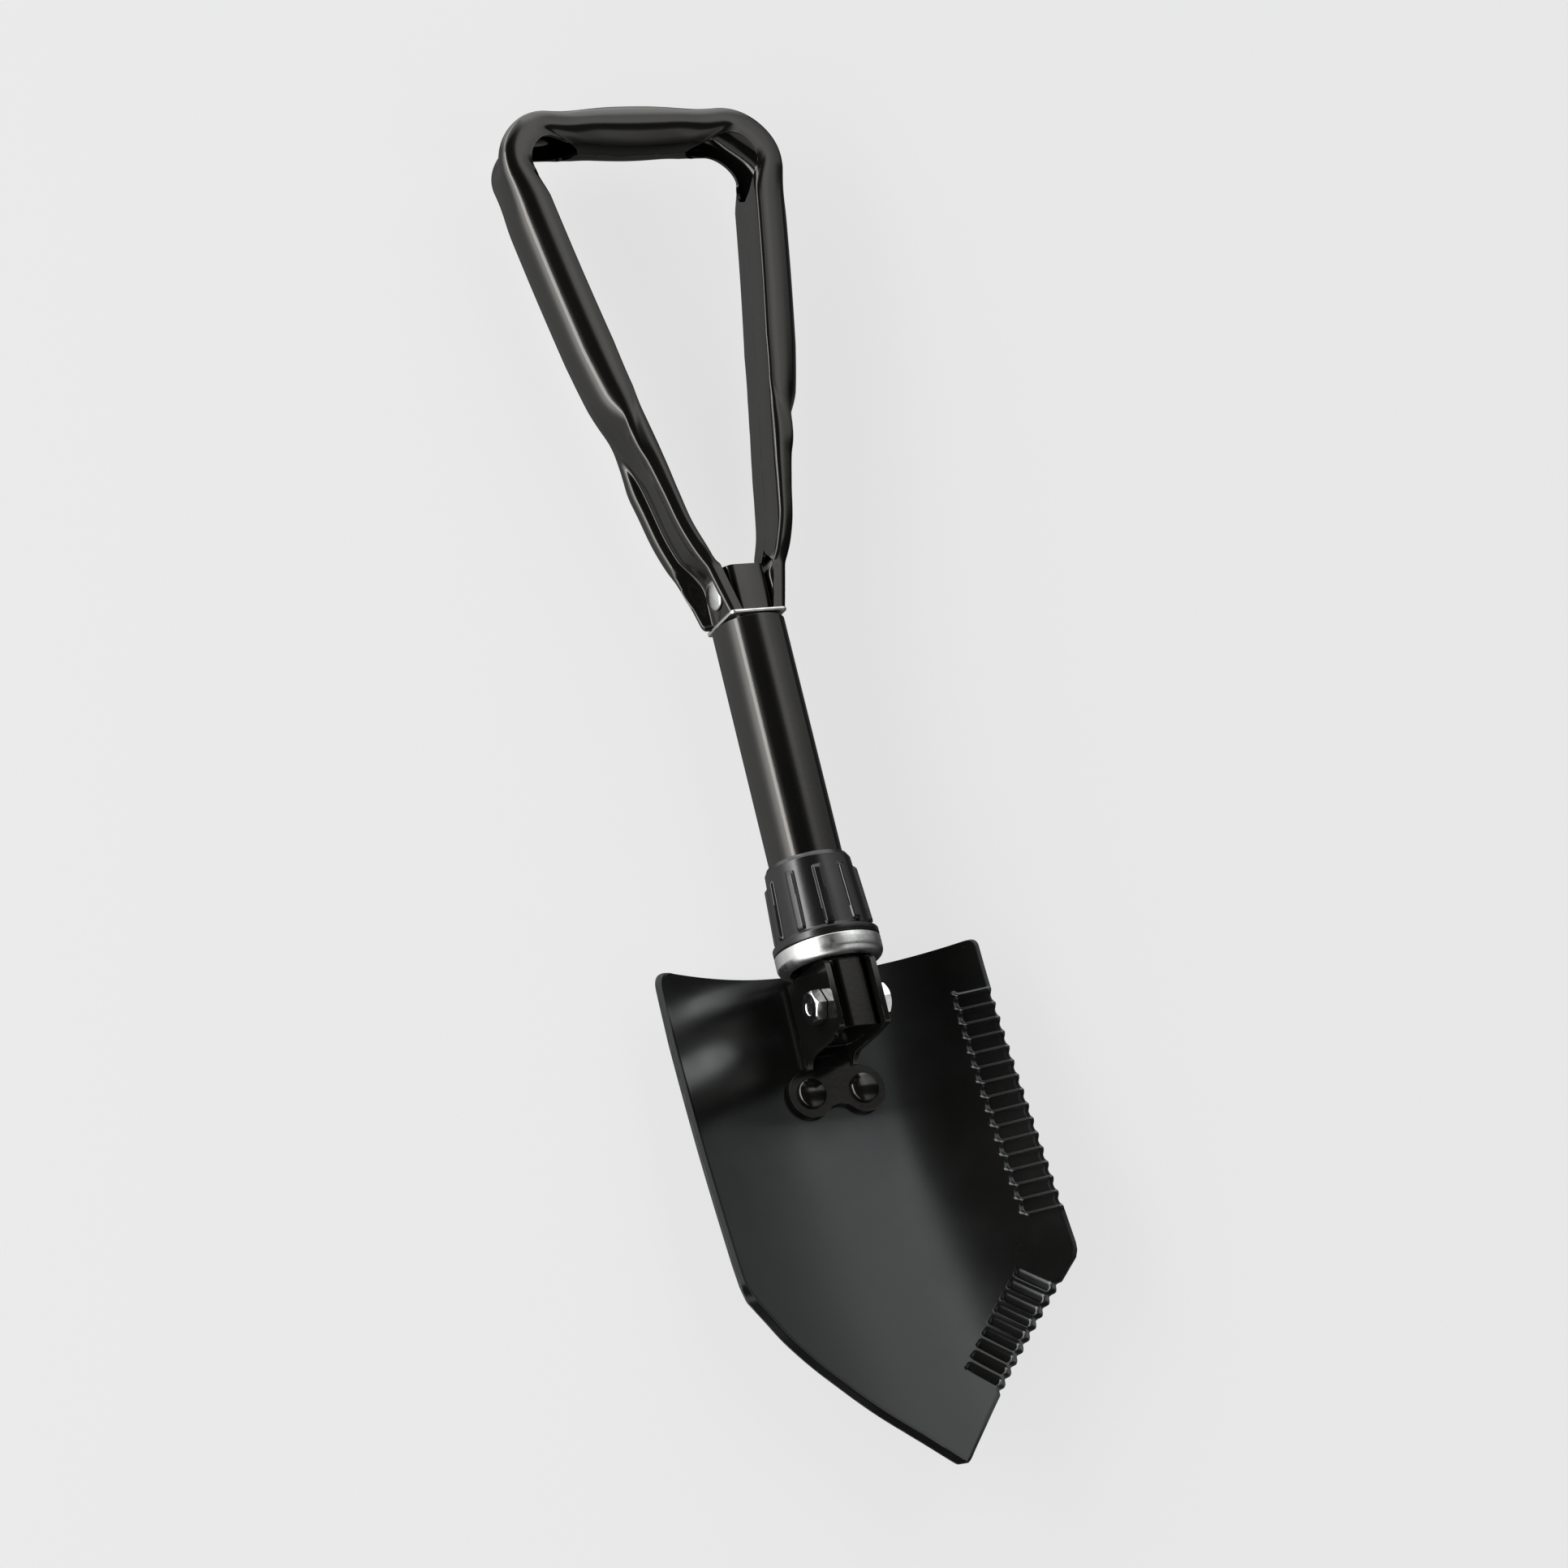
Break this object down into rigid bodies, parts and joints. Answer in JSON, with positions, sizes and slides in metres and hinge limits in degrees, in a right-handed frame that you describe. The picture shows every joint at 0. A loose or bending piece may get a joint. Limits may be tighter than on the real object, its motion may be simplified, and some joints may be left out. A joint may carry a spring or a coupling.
{
  "type": "folding camp shovel",
  "caption": "Folding camp shovel: pointed dished blade with saw-toothed edges on a pivoting bracket, tubular shaft with screw locking collar, and folding D handle.",
  "frame": {"origin": "bottom centre of the whole tool lying on its back with the hollow side of the blade up", "axes": "+Y along the shaft from the blade to the handle, +Z out of the blade's hollow side, +X across the blade"},
  "size_m": [0.1588, 0.6248, 0.0507],
  "materials": {
    "blade_enamel": "glossy black enamel on pressed steel",
    "bracket_enamel": "glossy black enamel",
    "tube_enamel": "glossy black enamel",
    "handle_enamel": "glossy black enamel on pressed steel",
    "collar_black": "satin black",
    "zinc_fastener": "bright zinc plate",
    "zinc_ring": "bright zinc plate",
    "spring_steel": "oiled spring steel"
  },
  "bodies": {
    "shaft": {"shaft_tube": "tube_enamel", "pivot_spacer": "zinc_fastener", "thread_sleeve": "zinc_ring", "neck_tube": "tube_enamel", "spring_seat": "zinc_ring", "detent_spring": "spring_steel"},
    "blade_assembly": {"blade": "blade_enamel", "blade_bracket": "bracket_enamel", "bracket_rivet_left": "bracket_enamel", "bracket_rivet_right": "bracket_enamel", "bracket_rivet_top": "bracket_enamel", "pivot_bolt": "zinc_fastener", "pivot_nut": "zinc_fastener"},
    "lock_ring": {"collar_ring": "zinc_ring"},
    "lock_collar": {"locking_collar": "collar_black"},
    "stop_plate_body": {"stop_plate": "zinc_ring"},
    "handle": {"handle_frame": "handle_enamel", "handle_rivet": "zinc_fastener"}
  },
  "joints": [
    {"name": "blade_fold", "type": "hinge", "parent": "shaft", "child": "blade_assembly", "pos_m": [0, -0.11222, 0.0317], "axis": [-1, 0, 0], "range_deg": [0, 172]},
    {"name": "ring_lift", "type": "slide", "parent": "shaft", "child": "lock_ring", "axis": [0, 1, 0], "range_m": [0, 0.0232]},
    {"name": "collar_screw", "type": "hinge", "parent": "lock_ring", "child": "lock_collar", "pos_m": [0, -0.08542, 0.0277], "axis": [0, 1, 0], "range_deg": [0, 1660]},
    {"name": "plate_slide", "type": "slide", "parent": "shaft", "child": "stop_plate_body", "axis": [0, 1, 0], "range_m": [-0.0015, 0], "stiffness_N_per_m": 2500, "springref_m": 0.003, "deforming": ["detent_spring"]},
    {"name": "handle_fold", "type": "hinge", "parent": "shaft", "child": "handle", "pos_m": [0, 0.07708, 0.0277], "axis": [-1, 0, 0], "range_deg": [0, 168]}
  ],
  "couplings": [
    {"joint": "ring_lift", "follows": "blade_fold", "m_per_rad": 0.0076},
    {"joint": "collar_screw", "follows": "blade_fold", "ratio": 9.55}
  ]
}
